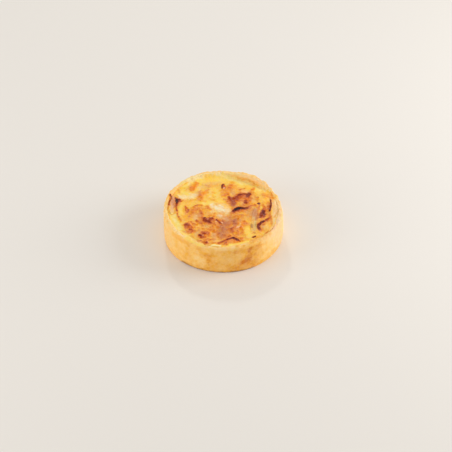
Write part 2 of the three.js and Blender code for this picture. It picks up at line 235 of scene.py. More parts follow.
CUSTARD_LEVEL = 0.26
TOP_MARKS = list(starmap(Mark, [
    # Broad browned zones
    (0.41, 18, 11, [(-8, -22), (12, -12), (12, -26)], 0.9),
    (0.42, 8, 6, [(-29, -4), (-20, -5)]),
    (0.57, 7, 5, [(3, -15), (0, -24), (-2, -35)]),
    (0.48, 6, 4.5, [(10, -16), (12, -30)], 0.7),
    (0.38, 4, 3, [(12, 33), (19, 27)], 0.7),
    (0.38, 3, 2.4, [(29, 26), (31, 14)], 0.7),
    (0.44, 2.8, 2.2, [(42, 7), (41, -1)]),
    (0.42, 7, 5, [(14, 16), (22, 14)], 0.7),
    (0.38, 5, 4, [(36, -12), (39, -26), (37, -35)], 0.7),
    # Yellow custard, and the edge in front
    (0.15, 4.5, 3, [(-34, 36), (-20, 44), (0, 47), (6, 45)], 0.9),
    (0.24, 2.4, 1.8, [(-15, 47), (-13, 42)]),
    (0.26, 2.8, 2.2, [(32, 29), (35, 16)], 0.9),
    (0.06, 3.6, 2.6, [(16, 38), (25, 35), (30, 31)], 0.9),
    (0.05, 2, 1.4, [(2, 48.6), (8, 44.5), (14, 41), (20, 40), (26, 38), (31, 34), (34, 29)], 0.9, 0.1),
    (0.24, 2.6, 1.8, [(19, 33), (28, 32)]),
    (0.12, 3.4, 2.5, [(-40, 26), (-34, 24)], 0.9),
    (0.14, 2.8, 2.2, [(-18, 10.5), (-11, 11.5)], 0.9),
    (0.18, 3, 2.2, [(-10, 33), (-7, 24), (-5, 14)]),
    (0.14, 1.4, 1, [(2.4, 17.6)]),
    (0.16, 1.5, 1.2, [(-39, 6), (-38.6, -1), (-37.6, -6)]),
    (0.27, 2.4, 1.8, [(22, -12), (24, -17)]),
    (0.17, 2.8, 2, [(22, -26), (22, -32), (24, -37)], 0.9),
    (0.26, 2.6, 2, [(38.6, -20), (39.6, -25)], 0.8, 0.2),
    (0.28, 1.8, 1.4, [(34, -33), (36, -32)]),
    (0.11, 3.2, 1, [(-45.4, -8), (-44.4, -15), (-41.6, -20), (-40.4, -25)], 0.97, -0.3),
    (0.12, 2.1, 0.9, [(-40.4, -25), (-37.4, -30), (-32.8, -35), (-28.6, -40), (-23, -45)], 0.97, -0.3),
    (0.13, 2.4, 1, [(-24, -44.4), (-17, -48.6)], 0.97, -0.2),
    (0.22, 0.8, 0.6, [(-48, -10), (-46.8, -15), (-44.4, -19)], 0.7),
    (0.13, 1.3, 0.8, [(6, -48.6), (10, -48.2), (16, -46.8), (22, -44.4)], 0.95, 0.1),
    (0.4, 1.2, 0.9, [(25, -43), (27, -41.8), (30.6, -39)], 0.9),
    (0.04, 1.1, 0.6, [(-10, -49.6), (-8, -49.4), (-3, -49.8)], 0.95, 0.2),
    (0.05, 0.8, 0.6, [(3.4, -50.6), (8, -50)], 0.8, 0.2),
    # Orange and light brown, towards the back
    (0.34, 2.4, 2, [(-29, 37), (-32, 32)], 0.8, 0.1),
    (0.43, 2.4, 1.3, [(-25.2, 38.6), (-26.8, 35.4), (-29, 29.6)], 0.95, 0.3),
    (0.51, 1.7, 1.2, [(-27, 33.4), (-30, 28.8)], 0.9, 0.2),
    (0.45, 2.4, 1.6, [(-22.4, 26), (-22.4, 20), (-21, 15.4)], 0.9, 0.2),
    (0.55, 1.7, 1.3, [(-22.6, 22), (-22.4, 18.4)], 0.9, 0.2),
    (0.44, 2, 1.4, [(-20, 20), (-17, 24.6), (-14, 28)], 0.9, 0.2),
    (0.4, 1.6, 1.2, [(-20, 13.6), (-16.6, 12.6)], 0.8, 0.1),
    (0.33, 1.8, 1.4, [(-12.4, 15), (-8.6, 14.4)], 0.8, 0.1),
    (0.32, 1.6, 1.2, [(-8.8, 18.6)], 0.7),
    (0.3, 2, 1.6, [(-9, 25)]),
    (0.38, 1.4, 1.1, [(-37, 13.4), (-31, 14), (-25, 14.6)], 0.8, 0.1),
    (0.36, 2.4, 1.8, [(8, 40), (10.4, 36)], 0.8, 0.1),
    (0.42, 2, 1.6, [(-0.6, 27), (-0.4, 24)]),
    (0.45, 2.8, 1.9, [(7, 36), (5.6, 30), (4.4, 26), (1.6, 20.4)], 0.9, 0.2),
    (0.52, 1.3, 1, [(6.8, 35), (6, 31)], 0.8, 0.1),
    (0.52, 1.3, 1, [(3.4, 24), (1.4, 20.4)], 0.8, 0.1),
    (0.5, 0.9, 0.7, [(15.4, 29), (17, 30.4), (20, 31)], 0.9, 0.2),
    (0.46, 1.5, 1.2, [(28.6, 31), (26.4, 28), (23.6, 25)], 0.9, 0.1),
    (0.42, 2.5, 1.8, [(37, 22), (42, 19.4), (47, 16.6)], 0.9, 0.1),
    # Browned custard, from the middle to the front
    (0.44, 1.5, 1, [(-15, 4.6), (-12, 1.6)], 0.9, 0.2),
    (0.4, 1.1, 0.9, [(-6.4, 8.2)], 0.8, 0.1),
    (0.34, 1.6, 1.3, [(-14.4, -3), (-14, -6)]),
    (0.46, 2.4, 1.8, [(-26, 3), (-21, 2.4)], 0.9, 0.2),
    (0.6, 0.7, 0.6, [(-26.4, 5.4), (-23, 6.8), (-19.4, 6.6)], 0.9, 0.2),
    (0.5, 2.2, 1.8, [(-31, -3), (-28, -5), (-31, -7.6)], 0.8, 0.1),
    (0.54, 1.6, 1.3, [(-28, -0.6), (-25.6, -1)], 0.8, 0.1),
    (0.58, 1.8, 1.4, [(-20.6, -2), (-19.4, -6.4)], 0.9, 0.1),
    (0.32, 2.4, 1.8, [(-35, -9), (-37, -13)], 0.7),
    (0.48, 0.9, 0.7, [(-42, -4), (-41.6, -9), (-39.6, -13), (-38, -15.6)], 0.9, 0.2),
    (0.44, 0.8, 0.6, [(-37.6, -29), (-33.4, -33.4), (-28.6, -37), (-24.4, -41.6)], 0.5, 0.1),
    (0.58, 1.3, 1, [(1, -27.4)], 0.8, 0.1),
    (0.58, 2, 1.5, [(8, -26), (7, -31.4)], 0.9, 0.1),
    (0.54, 1.3, 1, [(11, -26.4)], 0.9, 0.1),
    (0.48, 1.6, 1.3, [(9, -22.6), (6.6, -20)], 0.8, 0.1),
    (0.54, 1.1, 0.9, [(19.4, -16.6), (18.6, -20)], 0.9, 0.1),
    (0.48, 1.4, 1.1, [(17.8, -22.4), (15.8, -27)], 0.9, 0.1),
    (0.44, 1.6, 1.3, [(15, -30.6), (16, -33.4)]),
    (0.5, 1.6, 1.2, [(-13.6, -26.4), (-9.6, -27.6)], 0.8, 0.1),
    (0.56, 1.2, 0.9, [(-8.8, -28.6), (-7.4, -31)], 0.8, 0.1),
    (0.54, 1.4, 1, [(-23.8, -16), (-23, -18)], 0.9, 0.2),
    (0.52, 1.2, 0.9, [(-24, -21)], 0.8, 0.1),
    (0.42, 2, 1.5, [(42, -6), (43, -10)], 0.8, 0.1),
    (0.54, 1.8, 1.3, [(39.4, -32), (38.6, -35)], 0.8, 0.1),
    (0.46, 1.2, 0.9, [(44, -13.6), (43.4, -21)], 0.9),
    (0.3, 2, 1.6, [(-27, -8.4)], 0.7),
    (0.48, 1.6, 1.1, [(-16, -46.6), (-8, -46), (-2, -46.6), (3.4, -48.2)], 0.85),
    (0.38, 1.8, 1.4, [(-34, -14), (-31, -13.6)], 0.7),
    (0.56, 1.3, 1, [(19, 7.4), (19.4, 6)]),
    (0.58, 1.1, 0.9, [(17.6, -1), (20.4, -0.8)]),
    (0.62, 1, 0.8, [(11, -20), (11, -22)]),
    (0.56, 1.2, 1, [(15.4, -24), (14.8, -26.4)]),
    (0.55, 1, 0.8, [(-30.6, -32.4), (-29, -32.4)]),
    (0.54, 1, 0.8, [(32.6, -29), (34, -29.4)]),
    # Blisters that caught
    (0.55, 3.3, 1.4, [(-32.4, -21.4), (-30.6, -25), (-30, -29)], 0.95, 0.4),
    (0.64, 1, 0.7, [(-33.4, -19.4), (-34.5, -21), (-34.4, -24), (-33, -26)], 0.9, 0.2),
    (0.76, 1.2, 0.7, [(-33.2, -21), (-32.4, -22)], 0.95, 0.4),
    (0.42, 1.3, 1, [(-33, -27.6), (-31.6, -28)], 0.9),
    (0.6, 1.1, 0.9, [(-34.4, -24.4), (-33.6, -26.2)], 0.8, 0.1),
    (0.74, 1, 0.7, [(-30, -28), (-28.4, -28.6)], 0.9, 0.2),
    (0.56, 1.1, 0.8, [(-32, -31), (-29, -31)], 0.9, 0.1),
    (0.55, 1.2, 0.9, [(-30.6, -16.8), (-29, -17.6)], 0.8, 0.1),
    (0.54, 0.9, 0.7, [(-36.8, -29), (-35.6, -30)], 0.8, 0.1),
    (0.67, 3.4, 1.4, [(-15.8, -14.4), (-11.8, -14)], 0.95, 0.4),
    (0.52, 1.7, 1.3, [(-9, -16), (-9.6, -20)], 0.8, 0.1),
    (0.72, 1.4, 1, [(-15.6, -14.8), (-12.4, -14.8)], 0.9, 0.3),
    (0.72, 1.5, 0.9, [(-17, -12.8), (-17, -16)], 0.95, 0.4),
    (0.75, 1.3, 0.8, [(-12.4, -15.4), (-10.6, -12)], 0.95, 0.4),
    (0.78, 1.1, 0.8, [(-14.6, -17), (-12, -18)], 0.9, 0.3),
    (0.7, 1.5, 1, [(-14.4, -12.6), (-13.8, -15)], 0.9, 0.2),
    (0.54, 3.4, 1.8, [(-20, -36.6), (-16.4, -34)], 0.95, 0.4),
    (0.46, 2, 1.5, [(-13, -34), (-13.6, -39)], 0.8, 0.1),
    (0.83, 1.3, 0.8, [(-21, -36.4), (-19.8, -37)], 0.95, 0.4),
    (0.73, 1.4, 0.9, [(-18, -32.4), (-16.2, -33.4)], 0.9, 0.3),
    (0.68, 1, 0.7, [(-19.6, -39.4), (-18, -38.4)], 0.9, 0.2),
    (0.64, 0.9, 0.7, [(-18.8, -30.8)], 0.8, 0.2),
    (0.62, 0.9, 0.7, [(-16, -38.4)], 0.8, 0.2),
    (0.54, 1.4, 1, [(-22.4, -43), (-18, -45)], 0.9, 0.1),
    (0.7, 1, 0.7, [(-16, -45.2), (-14.6, -45.8)], 0.9, 0.2),
    # Roasted onion on the left
    (0.44, 2.4, 1.1, [(-47.4, 18), (-47, 9), (-46.4, 4)], 0.85),
    (0.64, 0.8, 0.6, [(-43, 9), (-43, 3), (-42.4, -2)], 0.95),
    (0.6, 1.5, 1.1, [(-41, 13), (-39.4, 12.4)], 0.9),
    (0.67, 1.7, 0.9, [(-41.6, 11.8), (-40.2, 12.8)], 0.95),
    (0.88, 1.2, 0.8, [(-42.6, 13.4), (-42.8, 9.4)], 0.95, 0.1),
    (0.82, 1, 0.7, [(-42.6, 15.6), (-40.4, 14.4)], 0.9, 0.1),
    (0.84, 0.9, 0.5, [(-44.2, 17.4), (-43.4, 15)], 0.95, 0.1),
    (0.97, 1.2, 0.6, [(-43.2, 14.6), (-42.9, 11.8)], 0.97, 0.1),
    (0.66, 0.9, 0.6, [(-48.8, 18), (-49.8, 12), (-50, 7)], 0.95),
    (0.86, 0.9, 0.6, [(-48.8, 21.6), (-48.4, 19)], 0.95),
    (0.56, 1.5, 1, [(-46.2, 13), (-45.8, 8), (-44.9, 5)], 0.9),
    (0.52, 1.2, 0.9, [(-33.8, 1.6), (-33, -2)], 0.8, 0.1),
    (0.66, 0.8, 0.6, [(-34.8, 4), (-33.4, 3), (-32, 0), (-32.6, -3.6)], 0.95, 0.1),
    (0.6, 0.6, 0.5, [(-34.8, 3.6), (-34.2, 0), (-33.2, -4)], 0.9, 0.1),
    # Roasted onion at the back
    (0.88, 1, 0.5, [(-1.2, 35.6), (0, 37.4)], 0.97, 0.1),
    (0.84, 0.9, 0.5, [(-1.2, 35), (-1, 31.4)], 0.95, 0.1),
    (0.62, 0.7, 0.5, [(0.6, 36), (2, 33.4), (1.6, 31)], 0.9, 0.1),
    (0.58, 3.6, 1.8, [(14.6, 18), (19, 19), (22.6, 15.4)], 0.95, 0.1),
    (0.44, 1.8, 1.4, [(17.6, 14)]),
    (0.7, 1.5, 1, [(13.6, 20.6), (12.2, 18), (12.6, 15.6)], 0.9, 0.1),
    (0.8, 1.3, 0.6, [(14.6, 21.6), (16.4, 22.4), (20, 22.6), (25, 22.8)], 0.95, 0.1),
    (0.8, 1.6, 0.9, [(23.8, 22), (22.8, 19.6)], 0.95, 0.1),
    (0.74, 1.3, 0.9, [(20.6, 13), (20.6, 10)], 0.95, 0.1),
    (0.66, 1.5, 1.1, [(6, 18.4), (7, 15.4)], 0.9, 0.1),
    (0.7, 2, 1.2, [(7, 16.4), (9.4, 15.4)], 0.9),
    (0.76, 1.5, 1, [(9.6, 15.8), (7.6, 14)], 0.9, 0.1),
    (0.54, 1.2, 1, [(6, 13), (1, 15)]),
    (0.7, 2, 1.5, [(10, 15), (9.4, 8)]),
    (0.5, 1.5, 1.2, [(3.6, 11.6), (6, 9)]),
    (0.5, 1.8, 1.4, [(12, -2.4), (20, -1)], 0.7),
    (0.5, 1.1, 0.9, [(29.6, 19.4), (31.8, 18.4), (32, 13.6)]),
    # More browned custard
    (0.36, 2.8, 2.2, [(-13, 35), (-7, 36)], 0.7),
    (0.5, 1.8, 1.4, [(-21, -18), (-19, -22)]),
    (0.5, 1.6, 1.2, [(-27.4, -31.6), (-24, -30)]),
    (0.48, 1.4, 1.1, [(-27, -19), (-26.6, -25)]),
    (0.52, 1.4, 1, [(-34, -30.6), (-31, -32)]),
    (0.5, 1.6, 1.2, [(-17, -41.6), (-8, -42)]),
    (0.46, 1.4, 1.1, [(0, 29)]),
    (0.46, 2.2, 1.8, [(24, 7.4), (31, 6.6)], 0.7),
    (0.46, 1.4, 1.1, [(-26.4, 21.4), (-25.4, 19)]),
    (0.46, 1.4, 1.1, [(-41.6, 28), (-41.8, 25)], 0.6),
    # Roasted onion in the middle
    (0.64, 1.2, 0.9, [(9.4, -3), (12, -1.4), (18, 0.2)]),
    (0.55, 1.3, 1, [(9, -4.4)], 0.9),
    (0.54, 0.9, 0.7, [(13, -5.6), (15, -7), (18.4, -8)], 0.9, 0.1),
    (0.64, 0.9, 0.6, [(22.6, 3.8), (26, 6), (29, 7), (29.8, 6.2)], 0.9, 0.1),
    (0.8, 1.6, 0.7, [(9.4, -1.6), (11.4, -0.4), (14, 0.8)], 0.95),
    (0.79, 1.3, 0.7, [(17, 1.6), (22.4, 2.6)], 0.95),
    (0.76, 1.4, 0.5, [(8.8, -2.6), (9.6, -1.2)], 0.95),
    (0.86, 1.5, 0.5, [(9.6, -1), (11, 0.4)], 0.95),
    (1, 1.6, 0.7, [(11.2, 0.8), (13, 2.2), (17, 2.6)], 0.98),
    (0.9, 1.3, 0.7, [(17, 2.6), (21, 2.4)], 0.95),
    (0.74, 0.9, 0.6, [(21, 2.6), (23, 3.4)], 0.9),
    (0.7, 1.1, 0.5, [(-6, -14.6), (-4, -17), (-2.6, -19)], 0.95, 0.1),
    (0.67, 0.9, 0.8, [(10.4, -15), (9.6, -20)]),
    # Roasted onion on the right, and what browned round it
    (0.54, 0.6, 0.5, [(31.2, 3), (32, -3), (31.4, -10), (30.8, -15)], 0.7),
    (0.18, 0.9, 0.5, [(35.4, 6), (34.4, 0), (33.2, -4.6)], 0.9),
    (0.46, 0.9, 0.8, [(32, 17), (31.8, 12)]),
    (0.54, 0.9, 0.7, [(33.2, 6.6), (32.8, 0.6)]),
    (0.92, 1.3, 0.5, [(32.4, 9.6), (33.2, 9)], 0.98, 0.2),
    (0.48, 1.5, 1.2, [(42.8, 9), (42.6, 4), (41.4, -3)]),
    (0.34, 2, 1.6, [(36, 9.4), (36.6, 7)], 0.7),
    (0.46, 1.4, 1.1, [(37, 6), (37.4, 4)]),
    (0.54, 1.4, 1.2, [(41.4, 10), (41.4, 6)]),
    (0.62, 1.2, 1, [(41.8, 5), (41.6, 2)]),
    (0.87, 0.75, 0.5, [(43.6, 14.4), (44.2, 9.6), (44, 5.6), (43.2, 1.4), (42.4, -1.8)], 0.95),
    (0.6, 1.5, 1, [(38.2, 2.6), (37, -0.4)], 0.9),
    (0.88, 1.8, 0.8, [(36.6, -1.8), (36.2, -5), (37, -7)], 0.95, 0.1),
    (0.78, 1.5, 0.8, [(35, -6), (33.8, -9.6)], 0.95, 0.1),
    (0.7, 1.2, 0.9, [(36.6, -8), (37, -9.4)], 0.9),
    (0.52, 1.7, 1.3, [(43, -9), (42.6, -12), (37.4, -18), (35, -23), (34.8, -28.4)]),
    (0.57, 0.9, 0.7, [(43.4, -10), (42, -12), (39, -14.6)], 0.9),
    (0.7, 1.2, 0.5, [(40.4, -13.4), (38, -15.4), (36, -16.4)], 0.9, 0.1),
    (0.84, 1.5, 0.5, [(36.6, -16.6), (33.8, -18.6), (32, -21.6), (31.9, -25.6), (32.6, -27.2)], 0.95, 0.1),
    (0.66, 0.8, 0.6, [(32.6, -27.6), (33.8, -27.4)], 0.9, 0.1),
    (0.45, 1.2, 1, [(34, -23)]),
    (0.95, 0.8, 0.5, [(26.6, -38.8), (27.4, -37.8), (28.6, -37.2)], 0.97, 0.1),
    # Roasted onion in front
    (0.54, 1, 0.8, [(3, -38.8), (6.4, -37.8)]),
    (0.47, 2.1, 1.3, [(0, -46.4), (8, -43), (12.6, -44.6)], 0.9, 0.1),
    (0.48, 1.4, 1.1, [(15.6, -41.6), (17.6, -39)]),
    (0.55, 0.8, 0.6, [(2.8, -48.8)], 0.9),
    (0.63, 1.3, 0.6, [(-4, -46), (0, -44), (4, -41.4)], 0.9),
    (0.8, 1.3, 0.5, [(4, -41.2), (7, -39.8), (8.6, -39)], 0.95),
    (0.93, 1, 0.5, [(8.4, -38.7), (9.6, -39.2)], 0.95),
    (0.85, 1.5, 0.5, [(9.6, -39.8), (11.4, -40.8), (13, -42.4)], 0.95),
    (0.68, 0.7, 0.5, [(13.4, -42.8), (14.8, -44.2)], 0.9),
]))

VEILS = list(starmap(Veil, [
    # Where onion shows through
    ("tan", 4.4, 3.2, [(5, -12), (4, -18), (0, -25), (-1, -36)], 0.45),
    ("mauve", 3, 2.4, [(3, -16), (0, -25), (-1, -34)], 0.3),
    ("tan", 2.2, 1.8, [(-24, -5), (-23, -9)], 0.6),
    ("tan", 2, 1.6, [(8, 29), (9.4, 24)], 0.6),
    ("tan", 2.6, 2, [(23, -1), (26, -7)]),
    ("tan", 1.8, 1.5, [(19, -9), (21, -12)], 0.35),
    ("tan", 2, 1.6, [(14, 6), (20, 6.4), (25, 3)], 0.35),
    ("mauve", 2, 1.5, [(8.6, 12.6), (8.4, 9), (9.4, 6)]),
    ("tan", 1.3, 0.9, [(-16, 36)], 0.7),
    ("tan", 1.3, 0.9, [(-13.4, 33.4)]),
    ("mauve", 1.8, 1.3, [(11, -14.4), (9.8, -20.6)], 0.7),
    ("mauve", 1.2, 0.9, [(-22, -28.4)], 0.6),
    ("tan", 2.8, 1.6, [(28.4, 1), (28.4, -4), (29, -11)], 0.7),
    ("mauve", 2, 1.5, [(29.4, -1), (29.6, -9)]),
    ("tan", 2, 1.2, [(-47, 18), (-46, 6)], 0.7),
    ("mauve", 1.6, 1.2, [(-46.8, 14), (-46.2, 2)], 0.3),
    ("olive", 2, 1.4, [(28.4, -12), (28, -18), (27.6, -28)], 0.6),
    ("mauve", 1.1, 0.9, [(30.2, -11.4), (29.6, -14.6)], 0.55),
    ("beige", 1.2, 1, [(28.2, -23), (28, -29)]),
    ("umber", 1, 0.7, [(26, -21), (26, -24.6)], 0.7),
    ("umber", 0.6, 0.5, [(28.8, -20.6)]),
    ("umber", 0.5, 0.4, [(26.8, -31.6), (28.4, -33.4), (29, -32)]),
    # Paler places, the right petal and the lip at the back
    ("beige", 2, 1.6, [(-20, 34.4), (-17, 31.6)]),
    ("beige", 2, 1.6, [(-18, 38), (-4, 40)]),
    ("beige", 1.8, 1.4, [(-25, 23.4), (-24, 26)], 0.6),
    ("beige", 2, 1.6, [(-25.4, -8), (-25, -12.6)], 0.6),
    ("beige", 1.6, 1.3, [(27.4, 17.6), (28, 13.4)]),
    ("beige", 1.8, 1.4, [(-18, -22.8), (-14, -23)]),
    ("beige", 2, 1.5, [(-4, -9), (0, -12)], 0.7),
    ("beige", 1.6, 1.3, [(-22.8, -31.4), (-25, -35.4)], 0.6),
    ("beige", 2.4, 2, [(-9, -36), (-7, -41)]),
    ("beige", 1.4, 1, [(15.6, -13.6), (15.6, -16)]),
    ("beige", 1.8, 1.1, [(-47.6, 5), (-47, -3)], 0.8),
    ("beige", 1.4, 1.1, [(46, 14), (46.6, 9)], 0.6),
    ("peach", 2, 1.6, [(19, 27), (21.6, 26.6)], 0.7),
    ("peach", 1.6, 1.2, [(36, -24)], 0.6),
    ("peach", 1.6, 1.3, [(39.6, -22), (40.6, -26)], 0.45),
    ("peach", 1.8, 1.4, [(2.6, -12.6), (3.6, -15)], 0.45),
    ("peach", 1.6, 1.3, [(-8, -44.4), (-4, -43.6)], 0.4),
    ("peach", 2.2, 1.2, [(47.6, 9.4), (47.8, 2), (46.6, -9)], 0.85),
    ("tan", 1.6, 1.3, [(46.4, 13), (46.6, 4), (47, -4)], 0.25),
    # Cream over the gap between the right petal and the rim: painted light that lifts the shade in the gap
    ("cream", 1.2, 0.8, [(48.6, 13), (49.8, 6), (50, -2), (48.6, -10)], 0.55),
    ("cream", 1.4, 0.9, [(46.8, -12.6), (46.2, -17)], 0.7),
    ("peach", 2.2, 1.6, [(-4, -4.6), (2, -7.6)], 0.6),
    ("peach", 1.4, 1.1, [(-25, -8.4), (-24.6, -12.6)]),
    ("peach", 1.4, 1.1, [(-10, -33.6), (-8, -35)]),
    # Straw and cream along the lip at the back: partly painted highlight on the lip, partly painted light
    # lifting the crease by the wall
    ("straw", 1.4, 1, [(-1, 50.6), (6, 46.4), (12, 43), (20, 41.6), (27, 39)], 0.8),
    ("apricot", 1.4, 1.1, [(28, 38.6), (32, 35), (34.6, 31)], 0.7),
    ("cream", 1.6, 1.3, [(36, 32.4), (39, 28)]),
    ("straw", 1.6, 1.3, [(14, 41), (20, 39.6), (26, 37.4)]),
    ("straw", 1.5, 1.2, [(-2, 48), (4, 46.4), (8, 44), (12, 42.4)]),
    # Apricot on the wall's inside above the lip: painted shade
    ("apricot", 1.4, 1, [(10, 46.6), (15, 44.4), (20, 42.8), (25, 40), (28.6, 37)], 0.85),
    ("straw", 1.4, 1, [(-48.6, -5), (-44, -7)], 0.7),
    ("yolk", 1, 0.8, [(-39.8, -5), (-39.4, -9.6)], 0.6),
    ("straw", 1.6, 1.2, [(-12.6, 27), (-12, 23)], 0.6),
    ("straw", 2.4, 1.4, [(-45.4, -8), (-44.4, -15), (-41, -22), (-37, -30), (-29, -40), (-20, -47)], 0.4),
    # Painted highlights on the yellow crescent
    ("cream", 1.2, 1, [(-44.4, -13), (-43.6, -15.4)], 0.45),
    ("cream", 1.1, 0.9, [(-40.4, -24), (-39.6, -26)], 0.35),
    ("straw", 1.4, 1, [(-30, -39), (-26.6, -42)]),
    ("peach", 1.2, 0.9, [(46.4, -19), (45, -24), (42.6, -29)], 0.7),
    # Orange and rust
    ("orange", 2, 1.5, [(-25.4, 38.6), (-27, 35), (-29.6, 29)]),
    ("orange", 2, 1.6, [(-22, 20), (-19, 22), (-15.6, 27)], 0.35),
    ("orange", 2, 1.6, [(6.8, 35), (5, 29), (2, 21)], 0.35),
    ("orange", 2.6, 2, [(18, 17), (23, 15)], 0.3),
    ("rust", 2.2, 1.8, [(7, 15.4), (12, 16.6), (14.4, 18.6), (17, 21.4)], 0.45),
    ("rust", 1.6, 1.3, [(14, 15.4), (14, 13.4)], 0.35),
    ("rust", 1.4, 1.2, [(1.6, -19.6), (3, -21)], 0.2),
    ("orange", 1.4, 1.1, [(6, -44.6), (11, -44.4)]),
    ("orange", 1.4, 1.1, [(18, -18), (16, -27)], 0.4),
    # Cream and milk, with warmer spots among them
    ("cream", 1.1, 0.8, [(-9.4, -49.3), (-8, -49.2), (-3, -49.7)], 0.6),
    ("cream", 2.4, 1.7, [(-39, 19.6), (-34, 18), (-28, 18.6), (-26, 21)], 0.75),
    ("cream", 1.3, 1, [(-23, 33), (-22.4, 29.6)], 0.6),
    ("cream", 1.6, 1.3, [(-32, 38)]),
    ("cream", 1.3, 1, [(-42, 21.4), (-40, 17.6), (-36, 15.6)]),
    ("cream", 1.5, 1.2, [(-31, 23.6), (-29, 22.6)], 0.6),
    ("cream", 2, 1.5, [(-32, 41.4), (-26, 45.2), (-20, 47.6)], 0.7),
    ("cream", 1.4, 1.1, [(-10, 50.2), (-3, 50), (3, 49.4)], 0.65),
    ("cream", 1.4, 1.1, [(-12, 20)]),
    ("cream", 3.6, 3, [(-8, 5), (-2, 2), (3, -2)], 0.8),
    ("cream", 1.8, 1.5, [(-6, 0), (-2, -2)], 0.6),
    ("cream", 1.8, 1.4, [(3.4, 4), (5, 0), (4.4, -4.4)], 0.25),
    ("cream", 1.4, 1.1, [(-9.4, -1), (-11, -4.4)], 0.6),
    ("milk", 1.7, 1.3, [(-10.6, 7.6), (-7.6, 4.4)], 0.6),
    ("milk", 1.3, 1, [(-6.4, 3), (-2.4, 1.6), (0.4, -1)], 0.55),
    ("milk", 0.9, 0.8, [(-3, 6), (0, 4)], 0.6),
    ("peach", 1.3, 1.1, [(1.4, 8.2), (3.6, 6)], 0.6),
    ("cream", 1.1, 0.9, [(-2, 8.4), (0, 8)]),
    ("apricot", 1.3, 1, [(-7.2, 7.8), (-6, 6.8)], 0.9),
    ("cream", 1.4, 1.1, [(-5, -8.4), (-2, -9)], 0.6),
    ("cream", 0.9, 0.7, [(-6.6, -17)], 0.6),
    # The flat slice on the right
    ("olive", 1.1, 0.8, [(29.2, -16.6), (28.9, -21), (29, -26)], 0.9),
    ("yolk", 1, 0.8, [(24.6, -36), (28, -34.8), (30.4, -35.6)], 0.8),
    # Painted glints and highlights, and the left petal's pink, which is partly painted highlight too
    ("pink", 1, 0.7, [(12.8, -24.4), (14.2, -22.8)], 0.75),
    ("cream", 0.6, 0.5, [(14.2, -23), (15.6, -19.6)], 0.45),
    ("pink", 0.6, 0.4, [(-1.4, -17.4), (-0.6, -18.4)], 0.9),
    ("pink", 0.8, 0.4, [(0.8, 32.4), (0.8, 31.6)], 0.95),
    ("pink", 1, 0.7, [(-14, -13.6)], 0.6),
    ("pink", 0.5, 0.4, [(-11.6, -11.4)], 0.7),
    ("pink", 0.8, 0.6, [(-29.6, -21)], 0.6),
    ("pink", 0.6, 0.5, [(-34, -30.4)], 0.7),
    ("pink", 0.7, 0.5, [(-18, -36)], 0.6),
    ("pink", 0.6, 0.5, [(-13.4, -45.4)], 0.6),
    ("pink", 0.7, 0.5, [(37.8, -4.4)]),
    ("pink", 0.8, 0.6, [(-33.6, 1), (-33.2, -1.4)], 0.3),
    ("pink", 0.8, 0.6, [(-46.8, 21), (-46.6, 17)], 0.6),
    ("pink", 1.6, 1.2, [(-47, 14), (-46.4, 0)], 0.3),
]))

# Marks on the rim and the wall's inside, placed as those on the top
RIM_LEVEL = 0.34
RIM_MARKS = list(starmap(Mark, [
    # The pale crest at the back and the right: partly a paler crust, partly painted highlight where the
    # rim catches the light
    (0.16, 2.2, 1.8, [(-36, 43), (-20, 51.6), (0, 54), (14, 53)], 0.7),
    (0.16, 1.4, 1.1, [(-36, 42.6), (-28, 48), (-22, 51)], 0.8, 0.1),
    (0.08, 1.8, 1.3, [(14, 51.6), (20, 50), (26, 47), (31, 44.6)], 0.8, 0.1),
    (0.26, 2.6, 2, [(34, 41), (38, 36), (42, 29)], 0.8, 0.1),
    (0.24, 2.6, 2, [(52, 0), (50, -14), (47, -26), (42, -35), (35, -43)]),
    (0.42, 0.9, 0.7, [(22, 52), (28, 49), (33, 46)], 0.5),
    (0.66, 2, 1.4, [(-41, 31), (-42.6, 24)]),
    # Paler on the wall's inside at the back right: painted light that lifts the shade there
    (0.2, 2, 1.4, [(3, 50.6), (10, 48.6), (16, 46), (22, 44.6), (27, 42)], 0.9),
    (0.43, 2, 1.6, [(39, 21), (43, 18.4)], 0.9),
    (0.17, 1.5, 1.1, [(-49, -12), (-47, -20), (-44, -26.6), (-39.6, -32.4), (-34.6, -37.4)], 0.9, 0.1),
    (0.2, 1.3, 0.9, [(-34.6, -37.4), (-28, -44), (-20, -49.4), (-12, -51)], 0.9, 0.1),
    (1.25, 1, 0.7, [(-49, 22), (-48.2, 18.6)], 0.9),
    (0.94, 0.8, 0.5, [(-49.2, 17), (-50.4, 10), (-50, 3)]),
    (0.64, 1.4, 1.1, [(42.4, -28.6), (41, -31.6), (37, -35.6), (31, -40.6), (26, -43.6)]),
    (0.68, 1.4, 1, [(12, -50.4), (19, -49.4)]),
    (0.66, 1.6, 1.3, [(24, -45.6), (30, -43)]),
    (0.66, 1.2, 0.9, [(-18, -49.4), (-14, -50)]),
    (0.4, 1.6, 1.3, [(44, -31), (40, -36.6)], 0.6),
    (0.12, 1.2, 1, [(-50.2, -7), (-50, -12)], 0.7),
]))

